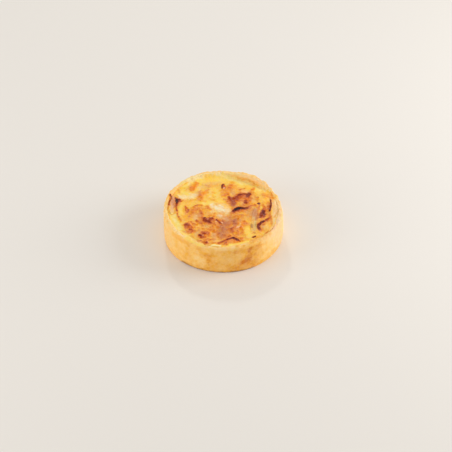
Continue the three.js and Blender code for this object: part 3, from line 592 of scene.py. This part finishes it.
# Veils over the rim and the front of the wall
CASE_VEILS = list(starmap(Veil, [
    ("yolk", 1.7, 1, [(-33, -39.6), (-31, -41.6), (-25, -46.4), (-18, -49.8)], 0.9),
    ("apricot", 2.2, 1.6, [(-44, -35.5), (-37, -41), (-31, -46.4)], 0.7),
    ("peach", 4, 3, [(50, -16), (46, -30), (40, -39)], 0.8),
    ("pink", 2.4, 1.8, [(51, 2), (49, -14), (45, -27)], 0.45),
    # Cream along the crest at the back right: partly painted highlight
    ("cream", 1.8, 1.3, [(14, 52), (24, 49), (31, 45)]),
    ("straw", 1, 0.8, [(-51.4, -1), (-50.4, -6)], 0.8),
    ("beige", 5, 4, [(55, -12), (54, -28), (50, -48)]),
    ("beige", 5, 4, [(-54.5, -12), (-53.5, -30), (-49, -48)], 0.4),
    ("pink", 5, 4, [(54, -20), (50, -40)], 0.15),
    # Umber along the front of the foot: painted contact shadow
    (
        "umber", 1.5, 1.1,
        [(-38, -72.4), (-27.5, -80.4), (-14, -86), (0, -87.8), (14, -86), (27, -80.8)], 0.85,
    ),
    ("peach", 1.6, 1.2, [(16, 52), (24, 49), (31, 45), (38, 38), (43, 30)], 0.6),
    ("cream", 1.6, 1.3, [(-34, 45), (-20, 52), (-4, 54)], 0.3),
    # Straw along the lip and the inner edge: partly painted highlight, partly painted light that lifts the
    # shade in the crease by the wall
    ("straw", 1.6, 1.2, [(2, 50), (10, 46.8), (16, 44.4), (22, 42.8), (26, 40.8)], 0.7),
    ("straw", 1.6, 1, [(30, 38.6), (36, 33), (41, 27), (45, 22)], 0.9),
    ("straw", 1.6, 1.2, [(-40, 38), (-34, 44), (-24, 49.6), (-10, 52.4), (1, 51.6)], 0.7),
    # Peach over the gap by the right petal: painted light that lifts the shade in it
    ("peach", 1.2, 0.8, [(48.6, 14), (50.4, 6), (50.6, -2), (49.4, -11)], 0.9),
    ("peach", 1.2, 0.9, [(46.4, -19), (45, -24), (42.6, -29)], 0.7),
    ("orange", 2, 1.6, [(42, 19.6), (47.6, 16.4)], 0.3),
    ("cream", 1.6, 1.3, [(36, 31), (39, 28)]),
    # Apricot on the wall's inside at the back right: painted shade
    ("apricot", 1.6, 1.2, [(8, 49), (14, 47), (20, 45.4), (25, 43.4), (28, 41.6)]),
    ("yolk", 1.4, 1.1, [(4, 54), (9, 52.8), (14, 51)], 0.4),
    ("cream", 1.8, 1.4, [(27, 46), (33, 41.6), (36.6, 37.6)], 0.25),
    ("beige", 1.8, 1.4, [(32, 47), (36, 43), (40, 37.6), (41.6, 33.6)]),
    ("apricot", 1.3, 1, [(40, 37), (41.4, 33.4)], 0.35),
    ("apricot", 1.8, 1.4, [(42, -33), (38, -37.4), (34, -42)], 0.4),
    ("beige", 1.8, 1.4, [(42, -33), (38, -37.4), (34, -42)], 0.4),
    ("cream", 1.4, 1.1, [(51.4, -12), (50.6, -18)]),
    ("peach", 1.6, 1.3, [(35, 34.6), (38, 31.6)]),
    ("cream", 2, 1.5, [(-32.4, 42.4), (-26, 46.6), (-20, 49)], 0.7),
    ("cream", 1.4, 1.1, [(-10, 52.2), (3, 51.4)], 0.65),
]))

# Marks on the wall: along it from the front's middle, to the right, and up from the base
PASTRY_LEVEL = 0.4
WALL_MARKS = list(starmap(Mark, [
    # Its front
    (0.56, 26, 16, [(-6, 10), (14, 10)]),
    (0.22, 24, 14, [(64, 18), (92, 18)], 0.85),
    (0.42, 16, 10, [(-84, 16), (-58, 16)], 0.7),
    (0.7, 5, 4, [(-15, 18), (-13, 5)], 0.6),
    (0.64, 4, 3, [(-36, 20), (-35, 8)], 0.45),
    (0.54, 6, 5, [(-48, 20), (-46, 10)], 0.6),
    (0.66, 2.4, 1.8, [(-52, 27), (-42, 26.6), (-34, 25.6)]),
    (0.48, 3, 2.5, [(-24, 25), (-5, 25)], 0.7),
    (0.26, 4, 3.5, [(-25, 14), (-19, 9)]),
    (0.42, 5, 4, [(2, 17), (9, 14)]),
    # Pale band just under the rim in front: partly painted highlight where the rim's rounding catches the
    # light
    (0.22, 1.6, 1.2, [(-6, 28.4), (8, 28.6)], 0.7, 0.1),
    (0.72, 2, 1.6, [(12, 24), (22, 23.2), (34, 23)], 0.7),
    (0.72, 2.6, 2.4, [(25, 22.6), (24, 18), (22, 11)], 0.8, -0.1),
    (0.92, 3.4, 3, [(19.4, 10.4), (22, 10)], 0.85),
    (0.8, 2.2, 1.8, [(35, 23.4), (30, 23)], 0.7),
    (1, 1.9, 1.7, [(25.8, 23.2), (25, 21)], 0.85, -0.1),
    (0.72, 5, 4, [(13, 5), (26, 5)], 0.6),
    (0.86, 0.4, 0.4, [(31, 25), (36, 23.6), (40, 22)], 0.6, -0.15),
    (0.62, 6, 4.5, [(32, 20), (34, 10)], 0.6),
    (0.92, 0.5, 0.4, [(27, 3.6), (31, 2.8), (34, 3)], 0.5, -0.1),
    # A browned line along the foot, which in front is also a painted contact shadow
    (0.66, 2, 1.8, [(-70, 1.5), (70, 1.5)], 0.6),
    (0.6, 3, 2.6, [(44, 4), (62, 4)], 0.6),
    (0.62, 2, 1.6, [(31, 23), (40, 21.4)], 0.6),
    # Its sides and back
    (0.58, 5, 4, [(104, 20), (107, 8)], 0.6),
    (0.8, 2.4, 2.2, [(128, 24), (126, 16), (128, 9)], 0.7, -0.1),
    (0.26, 5, 4, [(142, 20), (146, 10)], 0.6),
    (0.64, 6, 5, [(158, 14), (166, 10)], 0.6),
    (0.7, 3, 2.6, [(-166, 22), (-163, 12)], 0.7),
    (0.26, 4, 3.4, [(-150, 18), (-147, 8)], 0.6),
    (0.6, 6, 5, [(-132, 20), (-128, 8)], 0.6),
    (0.78, 2.2, 2, [(-112, 25), (-110, 17)], 0.7, -0.1),
    (0.24, 4, 3.4, [(-98, 12), (-95, 20)], 0.6),
    (0.66, 2, 1.8, [(96, 1.5), (173, 1.5)], 0.6),
    (0.66, 2, 1.8, [(-173, 1.5), (-96, 1.5)], 0.6),
]))

# Materials
CRUMB_DETAIL = 5.0
PATCH_DETAIL = 3.0
PATCH_SIZE = 4.0  # how many crumbs wide a patch is
MOTTLE_REACH = 0.25  # half of the noise's range that the mottling uses
NOISE_REACH = 0.2  # half of the noise's range that the rest uses
SATURATION = (0.94, 1.06)
ROUGHNESS_SPREAD = 0.08
BUMP = 0.6
SCATTER = 0.15
SCATTER_RADIUS = (1.0, 0.55, 0.25)
SCATTER_DEPTH = 1.0
SPECULAR = 0.2

# The floor and the light, in metres and watts
FLOOR_HALF = 3.0
FLOOR_COLOUR = (236, 231, 224)
FLOOR_ROUGHNESS = 0.7
SKY_COLOUR = (1.0, 0.985, 0.96, 1)
SKY_STRENGTH = 0.66
LIGHT_AIM = (0, 0, 0.02)
SOFTBOXES = [
    ("key", (0.95, 0.1, 0.4), 0.6, 5.5),
    ("fill", (-0.95, -0.3, 0.3), 0.6, 3.4),
    ("shine", (-0.15, 0.95, 0.8), 0.12, 1.6),
]

CASE_PIECE, FILLING_PIECE = "quiche_case", "quiche_filling"
ONION_NODES = sorted(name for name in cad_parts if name.startswith("onion_"))


def smooth(low, high, value):
    """0 below low, 1 above high, and a smooth rise between."""
    share = np.clip((value - low) / (high - low), 0, 1)
    return share * share * (3 - 2 * share)


def linear(colour):
    """A colour as it looks, from 0 to 255, as light by the sRGB curve."""
    share = np.asarray(colour, float) / 255
    return np.where(share <= 0.04045, share / 12.92, ((share + 0.055) / 1.055) ** 2.4)


def grain(points, size, seed, octaves):
    """Fractal noise from about -1 to 1, with features of that size."""
    shift = Vector([seed * step for step in SEED_SHIFT])
    places = (Vector(p) / size + shift for p in points)
    return np.array([noise.fractal(p, FRACTAL_FADE, FRACTAL_STEP, octaves) for p in places])


def grains(points, rows):
    """A noise for each row of size, seed and octaves."""
    return np.array([grain(points, *row) for row in rows])


def solid_tree(*nodes):
    """The solids of these nodes, ready to be measured in millimetres."""
    points, faces = [], []
    for node in nodes:
        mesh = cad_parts[node].data
        faces += [[len(points) + i for i in face.vertices] for face in mesh.polygons]
        points += [v.co / MM for v in mesh.vertices]
    return BVHTree.FromPolygons(points, faces)


def top_of(tree, x, y):
    """The highest point of a solid at a place."""
    return tree.ray_cast((x, y, 2 * CASE_HEIGHT), (0, 0, -1))[0]


def softened(values, passes, axis=0, around=True):
    """Values averaged with their neighbours along an axis, that many times."""
    for _ in range(passes):
        if around:
            before, after = np.roll(values, 1, axis), np.roll(values, -1, axis)
        else:
            last = values.shape[axis] - 1
            steps = np.arange(last + 1)
            before = np.take(values, np.maximum(steps - 1, 0), axis)
            after = np.take(values, np.minimum(steps + 1, last), axis)
        values = (before + 2 * values + after) / 4
    return values


def softened_grid(values, passes):
    """A grid of values averaged with their neighbours both ways, that many times."""
    return softened(softened(values, passes, 0, False), passes, 1, False)


# Painting

def distance_to(route, places):
    """How far each place is from a broken line, or from its only point."""
    best = np.full(len(places), np.inf)
    for start, end in zip(route[:-1] or route, route[1:] or route):
        span = np.subtract(end, start)
        share = np.clip((places - start) @ span / (span @ span or 1), 0, 1)
        best = np.minimum(best, np.hypot(*(places - start - share[:, None] * span).T))
    return best


def wander(points, sizes, seed):
    """Two noises for each point, which shift the places of marks so that their edges are uneven."""
    return sum(
        share * np.stack([grain(points, size, seed + i, WANDER_OCTAVES) for i in range(2)], 1)
        for share, size in sizes
    )


def cover_of(mark, places, wandering):
    """How far a mark or veil covers each place, with an uneven edge."""
    away = distance_to(mark.route, places + wandering * mark.soft)
    return mark.cover * (1 - smooth(mark.width - mark.soft, mark.width + mark.soft, away))


def browned(places, level, marks, wandering):
    """How browned each place is, painted highlights and shade included, and its rise, with the marks laid
    one after another.
    """
    toast = np.full(len(places), float(level))
    rise = np.zeros(len(places))
    for mark in marks:
        if mark.level > HALO_FROM and mark.soft > HALO_EDGE:
            halo = mark._replace(width=mark.width + HALO_WIDTH, soft=HALO_SOFT, cover=HALO_COVER)
            toast += np.maximum(HALO_LEVEL - toast, 0) * cover_of(halo, places, wandering)
        cover = cover_of(mark, places, wandering)
        toast += (mark.level - toast) * cover
        rise += mark.rise * cover
    return toast, rise


def coloured(toast, browning):
    """The colours of browned places."""
    levels, colours = zip(*browning)
    return np.stack([np.interp(toast, levels, channel) for channel in zip(*colours)], 1)


def veiled(colour, veils, places, wandering):
    """Colours with veils over them."""
    thinned = np.clip(1 + VEIL_THINNING * wandering[:, 0], VEIL_LEAST, 1)
    for veil in veils:
        cover = cover_of(veil, places, wandering) * thinned
        colour = colour + (np.array(TINTS[veil.tint]) - colour) * cover[:, None]
    return colour


def slanted_plan(points):
    """Where points of the top show on the level plane that the marks are placed on."""
    return np.stack([points[:, 0], points[:, 1] + (points[:, 2] - PLAN_LEVEL) * PLAN_SLANT], 1)


def new_piece(name, points, faces, colour, gloss, material, nodes):
    """A piece from points in millimetres, with its painted colour and gloss, in place of its nodes."""
    mesh = bpy.data.meshes.new(name)
    mesh.from_pydata(np.asarray(points) * MM, [], faces)
    mesh.polygons.foreach_set("use_smooth", [True] * len(mesh.polygons))
    tint = np.ones((len(points), 4), np.float32)
    tint[:, :3] = linear(colour)
    mesh.attributes.new("bake", "FLOAT_COLOR", "POINT").data.foreach_set("color", tint.ravel())
    mesh.attributes.new("gloss", "FLOAT", "POINT").data.foreach_set("value", gloss.astype(np.float32))
    mesh.materials.append(material)
    piece = bpy.data.objects.new(name, mesh)
    bpy.context.scene.collection.objects.link(piece)
    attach(piece, "root")
    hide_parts(*nodes)


# The pastry case

def straight(start, end, steps):
    """Points from start towards end, without the end."""
    return [np.array(start) + (np.array(end) - start) * i / steps for i in range(steps)]


def bend(middle, radius, start, end, steps):
    """Points along an arc between two angles in degrees, without the end."""
    turns = np.radians(np.linspace(start, end, steps, endpoint=False))
    return [np.array(middle) + radius * np.array([math.cos(t), math.sin(t)]) for t in turns]


def even_section():
    """The case's even section and its normals, from the base's middle out, up, over the rim and in."""
    wall_top = CASE_HEIGHT - RIM_OUTSIDE
    inner_top = CASE_HEIGHT - RIM_INSIDE
    outer_crest = (CASE_RADIUS - RIM_OUTSIDE, CASE_HEIGHT)
    inner_crest = (INNER_RADIUS + RIM_INSIDE, CASE_HEIGHT)
    section = straight((CASE_HUB, 0.0), (CASE_RADIUS - HEEL, 0.0), steps=10)
    section += bend((CASE_RADIUS - HEEL, HEEL), HEEL, -90, 0, steps=5)
    section += straight((CASE_RADIUS, HEEL), (CASE_RADIUS, wall_top), steps=56)
    section += bend((outer_crest[0], wall_top), RIM_OUTSIDE, 0, 90, steps=6)
    section += straight(outer_crest, inner_crest, steps=4)
    section += bend((inner_crest[0], inner_top), RIM_INSIDE, 90, 180, steps=10)
    section += straight((INNER_RADIUS, inner_top), (INNER_RADIUS, SIDE_TOP), steps=14)
    section += straight((INNER_RADIUS, SIDE_TOP), (INNER_RADIUS, FLOOR + CORNER), steps=4)
    section += straight((INNER_RADIUS, FLOOR + CORNER), (INNER_RADIUS - CORNER, FLOOR), steps=2)
    section += straight((INNER_RADIUS - CORNER, FLOOR), (CASE_HUB, FLOOR), steps=4)
    section = np.array(section)
    along = np.gradient(section, axis=0)
    out = np.stack([along[:, 1], -along[:, 0]], 1)
    return section, out / np.linalg.norm(out, axis=1, keepdims=True)


def rim_heights(tree):
    """The rim's height round the case."""
    tops = [top_of(tree, RIM_CREST * math.cos(a), RIM_CREST * math.sin(a)).z for a in CASE_ANGLES]
    return softened(np.array(tops), CASE_PASSES)


def turned(reach, height):
    """What a section has at each step, its reach out and its height, in every sector of the case."""
    heights = np.broadcast_to(height, (CASE_SECTORS, len(reach)))
    across, back = np.outer(np.cos(CASE_ANGLES), reach), np.outer(np.sin(CASE_ANGLES), reach)
    return np.stack([across, back, heights], 2)


def case_points(section):
    """The fine case's points, sector by sector, on the solid but without its facets."""
    tree = solid_tree("pastry_case")
    upper_half = smooth(CASE_HEIGHT / 2, CASE_HEIGHT, section[:, 1])
    lift = np.outer(rim_heights(tree) - CASE_HEIGHT, upper_half)
    even = turned(section[:, 0], section[:, 1] + lift)
    nearest = np.array([tree.find_nearest(p)[0] for p in even.reshape(-1, 3)]).reshape(even.shape)
    return (even + softened(nearest - even, CASE_PASSES)).reshape(-1, 3)


def case_faces(sectors, count):
    """Quads between neighbouring sectors, and fans at the base's and the floor's middle."""
    faces = []
    under, over = sectors * count, sectors * count + 1
    for i in range(sectors):
        here, there = i * count, (i + 1) % sectors * count
        faces += [(here + j, there + j, there + j + 1, here + j + 1) for j in range(count - 1)]
        faces.append((under, there, here))
        faces.append((over, here + count - 1, there + count - 1))
    return faces


def case_zones(section):
    """How far each point of the case is on its outer wall, its rim and its inside."""
    radius, height = (np.tile(column, CASE_SECTORS) for column in section.T)
    outer = smooth(*OUTER_RADII, radius) * smooth(*OUTER_HEIGHTS, height)
    inside = smooth(*INSIDE_RADII, radius) * smooth(*INSIDE_HEIGHTS, height)
    return outer, smooth(*CREST_HEIGHTS, height), inside


def case_paint(points, angle, noises, on_rim):
    """The colours of the case, and the rise of its marks."""
    along = CASE_RADIUS * (np.mod(angle - math.radians(90), 2 * math.pi) - math.pi)
    places = np.stack([along, points[:, 2]], 1)
    toast, rise = browned(places, PASTRY_LEVEL, WALL_MARKS, wander(points, WALL_WANDER, WALL_SEED))
    toast += np.dot(WALL_MOTTLE, noises)
    plan, wandering = slanted_plan(points), wander(points, TOP_WANDER, TOP_SEED)
    rim_toast, rim_rise = browned(plan, RIM_LEVEL, RIM_MARKS, wandering)
    rim_toast += np.dot(RIM_MOTTLE, noises)
    toast += (rim_toast - toast) * on_rim
    rise += (rim_rise - rise) * on_rim
    colour = coloured(toast, PASTRY_BROWNING)
    over = veiled(colour, CASE_VEILS, plan, wandering) - colour
    in_sight = np.maximum(on_rim, smooth(*FRONT_PLACES, points[:, 1]))
    return colour + over * in_sight[:, None], rise


def case_piece(material):
    """The pastry case: an even wall with a soft, crumbly rim, browned in places, with painted highlights
    and shadow.
    """
    section, normals = even_section()
    points = case_points(section)
    outer, rim, inside = case_zones(section)
    noises = grains(points, CASE_GRAINS)
    angle = np.repeat(CASE_ANGLES, len(section))
    colour, rise = case_paint(points, angle, noises, np.maximum(rim, inside))
    relief = (outer + inside) * np.dot(WALL_RELIEF, noises) + rim * np.dot(RIM_RELIEF, noises)
    points += turned(*normals.T).reshape(-1, 3) * (relief + rise)[:, None]

    points = np.concatenate([points, [[0, 0, 0], [0, 0, FLOOR]]])
    colour = np.concatenate([colour, coloured(np.full(2, PASTRY_LEVEL), PASTRY_BROWNING)])
    faces = case_faces(CASE_SECTORS, len(section))
    gloss = np.zeros(len(points))
    new_piece(CASE_PIECE, points, faces, colour, gloss, material, ["pastry_case"])


# The filling

def disc_grid(steps):
    """A square grid bent into a disc: each point's share of the radius, and its angle."""
    side = np.linspace(-1, 1, steps + 1)
    across, up = (grid.ravel() for grid in np.meshgrid(side, side))
    wide = np.abs(across) > np.abs(up)
    longer, shorter = np.where(wide, across, up), np.where(wide, up, across)
    turn = math.pi / 4 * shorter / np.where(longer == 0, 1, longer)
    angle = np.where(wide, turn, math.pi / 2 - turn) + math.pi * (longer < 0)
    return np.abs(longer), angle


def filling_edge(tree, angle):
    """The radius of the filling's side at an angle, below every onion slice."""
    return tree.ray_cast((0, 0, SIDE_TOP), (math.cos(angle), math.sin(angle), 0))[3]


def filling_top(steps):
    """Points of the filling's top with its pockets closed, and how far each is past its edge."""
    tree, onions = solid_tree("filling"), solid_tree(*ONION_NODES)
    share, angle = disc_grid(steps)
    edge = np.array([filling_edge(tree, a) for a in angle])
    radius = share * (edge + INTO_WALL)
    inside = np.minimum(radius, edge - EDGE_INSET)
    direction = np.stack([np.cos(angle), np.sin(angle)], 1)
    spots = [top_of(tree, x, y) for x, y in direction * inside[:, None]]
    pocket = np.array([onions.find_nearest(spot, POCKET_REACH)[0] is not None for spot in spots])
    covered = pocket.reshape(steps + 1, -1)
    grid = np.array([spot.z for spot in spots]).reshape(steps + 1, -1)
    for _ in range(POCKET_PASSES):
        grid = np.where(covered, softened_grid(grid, 1), grid)
    heights = softened_grid(grid, TOP_PASSES).ravel()
    return np.column_stack([direction * radius[:, None], heights]), radius - edge


def wall_above(points):
    """How far the rim stands above each point, in line with it from the middle."""
    rim = rim_heights(solid_tree("pastry_case"))
    angle = np.arctan2(points[:, 1], points[:, 0])
    return np.maximum(np.interp(angle, CASE_ANGLES, rim, period=2 * math.pi) - points[:, 2], 0)


def hump(value, middle, spread):
    """1 at the middle, and 0 past its spread to both sides."""
    return 1 - smooth(0, spread, np.abs(value - middle))


def edge_climb(top, past_edge):
    """How far the filling climbs the wall, and the height of its lip."""
    direction = np.degrees(np.arctan2(top[:, 1], top[:, 0]))
    more = sum(share * hump(direction, middle, spread) for middle, spread, share in MORE_CLIMB)
    near_wall = np.clip(1 + past_edge / EDGE_REACH, 0, 1) ** 2
    on_lip = hump(direction, *LIP_SECTOR) * hump(past_edge, -LIP_INSET, LIP_INSET)
    return (EDGE_CLIMB + more) * wall_above(top) * near_wall + LIP * on_lip


def closed_faces(steps):
    """A square grid's border, and its quads, with sides down to two more rings and a fan below."""
    index = np.arange((steps + 1) ** 2).reshape(steps + 1, -1)
    quads = np.stack([index[:-1, :-1], index[:-1, 1:], index[1:, 1:], index[1:, :-1]], 2).reshape(-1, 4)
    border = np.concatenate([index[0, :-1], index[:-1, -1], index[-1, :0:-1], index[:0:-1, 0]])
    count = len(border)
    rings = [border, index.size + np.arange(count), index.size + count + np.arange(count)]
    sides = [
        np.stack([upper, lower, np.roll(lower, -1), np.roll(upper, -1)], 1)
        for upper, lower in zip(rings, rings[1:])
    ]
    middle = np.full(count, index.size + 2 * count)
    fan = np.stack([middle, np.roll(rings[-1], -1), rings[-1]], 1)
    return border, quads.tolist() + np.concatenate(sides).tolist() + fan.tolist()


def blisters(plan):
    """Small bubbles strewn over the top: 1 in the middle of each and 0 between them, and their rise."""
    draw = np.random.default_rng(BLISTER_SEED)
    dome = np.zeros(len(plan))
    rise = np.zeros(len(plan))
    for x, y, size in draw.uniform(BLISTER_LEAST, BLISTER_MOST, (BLISTERS, 3)):
        away = np.hypot(plan[:, 0] - x, plan[:, 1] - y) / size
        bubble = np.where(away < 1, (1 - away**2) ** 2, 0)
        dome = np.maximum(dome, bubble)
        rise = np.maximum(rise, BLISTER_RISE * size * bubble)
    return dome, rise


def baked_top(top):
    """How browned each point of the filling's top is, its colour, its rise, and its noises."""
    noises = grains(top, TOP_GRAINS)
    noises[RIDGES] = 1 - 2 * np.abs(noises[RIDGES])
    plan, wandering = slanted_plan(top), wander(top, TOP_WANDER, TOP_SEED)
    toast, rise = browned(plan, CUSTARD_LEVEL, TOP_MARKS, wandering)
    uneven = SMOOTH_SHARE + (1 - SMOOTH_SHARE) * smooth(*LUMPY, toast)
    rise += uneven * np.dot(TOP_RELIEF, noises)
    toast += uneven * (1 - CHAR_CALM * smooth(*CHARRED, toast)) * np.dot(TOP_MOTTLE, noises)
    dome, bubbles = blisters(plan)
    toast += BLISTER_BROWNING * dome * smooth(*BLISTERED, toast)
    rise += bubbles * smooth(*BLISTERED, toast)
    return toast, veiled(coloured(toast, BROWNING), VEILS, plan, wandering), rise, noises


def filling_piece(material):
    """The filling, smooth where it stayed yellow and lumpy where it browned; gives its surface back."""
    top, past_edge = filling_top(FILLING_STEPS)
    toast, colour, rise, noises = baked_top(top)
    top[:, 2] += rise + edge_climb(top, past_edge) * (1 + np.dot(CLIMB_UNEVEN, noises))

    border, faces = closed_faces(FILLING_STEPS)
    upper = top[border]
    upper[:, :2] *= 1 - INTO_WALL / np.hypot(upper[:, 0], upper[:, 1])[:, None]
    lower = upper.copy()
    upper[:, 2] = SIDE_TOP
    lower[:, 2] = SIDE_FOOT
    points = np.concatenate([top, upper, lower, [[0, 0, SIDE_FOOT]]])
    hidden = len(points) - len(top)
    colour = np.concatenate([colour, coloured(np.full(hidden, CUSTARD_LEVEL), BROWNING)])
    shine = CUSTARD_GLOSS + (1 - CUSTARD_GLOSS) * smooth(*SHINY, toast)
    gloss = np.concatenate([shine, np.zeros(hidden)])
    new_piece(FILLING_PIECE, points, faces, colour, gloss, material, ["filling"])
    return BVHTree.FromPolygons(points, faces)


# The onion slices

def fine_mesh(node, levels):
    """A node's mesh with its corners joined and its facets rounded, as points, normals and faces."""
    source = bpy.data.objects.new("fine_source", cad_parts[node].data.copy())
    bpy.context.scene.collection.objects.link(source)
    source.modifiers.new("weld", "WELD").merge_threshold = WELD * MM
    source.modifiers.new("round", "SUBSURF").levels = levels
    bpy.context.view_layer.update()
    mesh = source.evaluated_get(bpy.context.evaluated_depsgraph_get()).data
    points = np.array([v.co / MM for v in mesh.vertices])
    normals = np.array([v.normal for v in mesh.vertices])
    faces = [list(face.vertices) for face in mesh.polygons]
    bpy.data.objects.remove(source)
    return points, normals, faces


def onion_piece(node, filling, material):
    """A roasted onion slice, wrinkled, with its own browning where it stands out of the filling."""
    points, normals, faces = fine_mesh(node, ONION_LEVELS)
    noises = grains(points, ONION_GRAINS)
    points += normals * np.dot(ONION_RELIEF, noises)[:, None]
    ground = np.array([top_of(filling, x, y).z for x, y, _ in points])
    proud = smooth(*PROUD, points[:, 2] - ground)
    plan, wandering = slanted_plan(points), wander(points, TOP_WANDER, TOP_SEED)
    toast, _ = browned(plan, CUSTARD_LEVEL, TOP_MARKS, wandering)
    least = ONION_LEVEL.get(node, 0) + np.dot(ONION_MOTTLE, noises)
    toast += np.maximum(least - toast, 0) * proud
    colour = coloured(toast, BROWNING)
    over = veiled(colour, VEILS, plan, wandering) - colour
    colour += over * (1 - smooth(*ROASTED, toast))[:, None]
    gloss = np.full(len(points), ONION_GLOSS)
    new_piece("quiche_" + node, points, faces, colour, gloss, material, [node])


# Materials

def add_node(tree, kind, links=None, **settings):
    """A shader node with its settings; links maps its inputs to values or to other nodes' sockets."""
    node = tree.nodes.new("ShaderNode" + kind)
    for key, value in settings.items():
        setattr(node, key, value)
    for name, value in (links or {}).items():
        if isinstance(value, bpy.types.NodeSocket):
            tree.links.new(value, node.inputs[name])
        else:
            node.inputs[name].default_value = value
    return node


def noise_value(tree, place, size, detail):
    """Noise with features of that size."""
    links = {"Vector": place, "Scale": 1 / (size * MM), "Detail": detail}
    return add_node(tree, "TexNoise", links).outputs["Fac"]


def spread(tree, value, low, high, reach=NOISE_REACH):
    """A noise value mapped from its usual range to low and high."""
    links = {
        "Value": value,
        "From Min": 0.5 - reach,
        "From Max": 0.5 + reach,
        "To Min": low,
        "To Max": high,
    }
    return add_node(tree, "MapRange", links).outputs["Result"]


def baked_material(name, roughness, shine, grain_size, depth, mottle):
    """A baked surface: its painted colour mottled by noise, with roughness and bump from noise as well."""
    material = bpy.data.materials.new(name)
    material.use_nodes = True
    tree = material.node_tree
    shader = tree.nodes["Principled BSDF"]
    place = add_node(tree, "TexCoord").outputs["Object"]
    paint = add_node(tree, "Attribute", attribute_name="bake").outputs["Color"]
    gloss = add_node(tree, "Attribute", attribute_name="gloss").outputs["Fac"]
    crumbs = noise_value(tree, place, grain_size, CRUMB_DETAIL)
    patches = noise_value(tree, place, PATCH_SIZE * grain_size, PATCH_DETAIL)
    tint = add_node(tree, "HueSaturation", {
        "Color": paint,
        "Value": spread(tree, crumbs, 1 - mottle, 1 + mottle, MOTTLE_REACH),
        "Saturation": spread(tree, patches, *SATURATION),
    })
    tree.links.new(tint.outputs["Color"], shader.inputs["Base Color"])
    dull = spread(tree, crumbs, roughness - ROUGHNESS_SPREAD, roughness + ROUGHNESS_SPREAD)
    wet = add_node(tree, "Math", {0: gloss, 1: -shine, 2: dull}, operation="MULTIPLY_ADD")
    tree.links.new(wet.outputs["Value"], shader.inputs["Roughness"])
    bump = add_node(tree, "Bump", {"Height": crumbs, "Strength": BUMP, "Distance": depth * MM})
    tree.links.new(bump.outputs["Normal"], shader.inputs["Normal"])
    shader.inputs["Subsurface Weight"].default_value = SCATTER
    shader.inputs["Subsurface Radius"].default_value = SCATTER_RADIUS
    shader.inputs["Subsurface Scale"].default_value = SCATTER_DEPTH * MM
    shader.inputs["Specular IOR Level"].default_value = SPECULAR
    return material


def pastry_material():
    """Dry, crumbly shortcrust."""
    return baked_material("pastry", roughness=0.72, shine=0.0, grain_size=0.9, depth=0.18, mottle=0.05)


def filling_material():
    """Custard and cheese, which shines where it browned."""
    return baked_material("filling", roughness=0.6, shine=0.36, grain_size=0.8, depth=0.12, mottle=0.06)


def onion_material():
    """Roasted onion, moist all over."""
    return baked_material("onion", roughness=0.5, shine=0.26, grain_size=0.7, depth=0.1, mottle=0.07)


# Floor, light and camera

def floor():
    """A plain pale floor, level with the base."""
    mesh = bpy.data.meshes.new("floor")
    signs = [(-1, -1), (1, -1), (1, 1), (-1, 1)]
    mesh.from_pydata([(FLOOR_HALF * x, FLOOR_HALF * y, 0) for x, y in signs], [], [(0, 1, 2, 3)])
    material = bpy.data.materials.new("floor")
    material.use_nodes = True
    shader = material.node_tree.nodes["Principled BSDF"]
    shader.inputs["Base Color"].default_value = (*linear(FLOOR_COLOUR), 1)
    shader.inputs["Roughness"].default_value = FLOOR_ROUGHNESS
    shader.inputs["Specular IOR Level"].default_value = SPECULAR
    mesh.materials.append(material)
    piece = bpy.data.objects.new("floor", mesh)
    bpy.context.scene.collection.objects.link(piece)


def softbox(name, place, width, power):
    """A square area light that faces the quiche."""
    lamp = bpy.data.lights.new(name, "AREA")
    lamp.size = width
    lamp.energy = power
    light = bpy.data.objects.new(name, lamp)
    light.location = place
    light.rotation_euler = (Vector(LIGHT_AIM) - light.location).to_track_quat("-Z", "Y").to_euler()
    bpy.context.scene.collection.objects.link(light)


def studio():
    """Even white light all round, with soft boxes at the right, the left and the back."""
    world = bpy.data.worlds.new("studio")
    world.use_nodes = True
    world.node_tree.nodes["Background"].inputs["Color"].default_value = SKY_COLOUR
    world.node_tree.nodes["Background"].inputs["Strength"].default_value = SKY_STRENGTH
    bpy.context.scene.world = world
    for box in SOFTBOXES:
        softbox(*box)
    bpy.context.scene.view_settings.view_transform = "Standard"


def camera():
    """The photograph's camera: a long lens from the front, looking down."""
    data = bpy.data.cameras.new("camera")
    data.lens = LENS
    data.clip_end = VIEW_END * MM
    view = bpy.data.objects.new("camera", data)
    rise = math.radians(VIEW_ELEVATION)
    aim = Vector(VIEW_AIM) * MM
    view.location = aim + Vector((0, -math.cos(rise), math.sin(rise))) * VIEW_DISTANCE * MM
    view.rotation_euler = (math.pi / 2 - rise, 0, 0)
    bpy.context.scene.collection.objects.link(view)
    bpy.context.scene.camera = view


camera()
studio()
floor()
case_piece(pastry_material())
FILLING_SURFACE = filling_piece(filling_material())
ONION = onion_material()
for onion in ONION_NODES:
    onion_piece(onion, FILLING_SURFACE, ONION)
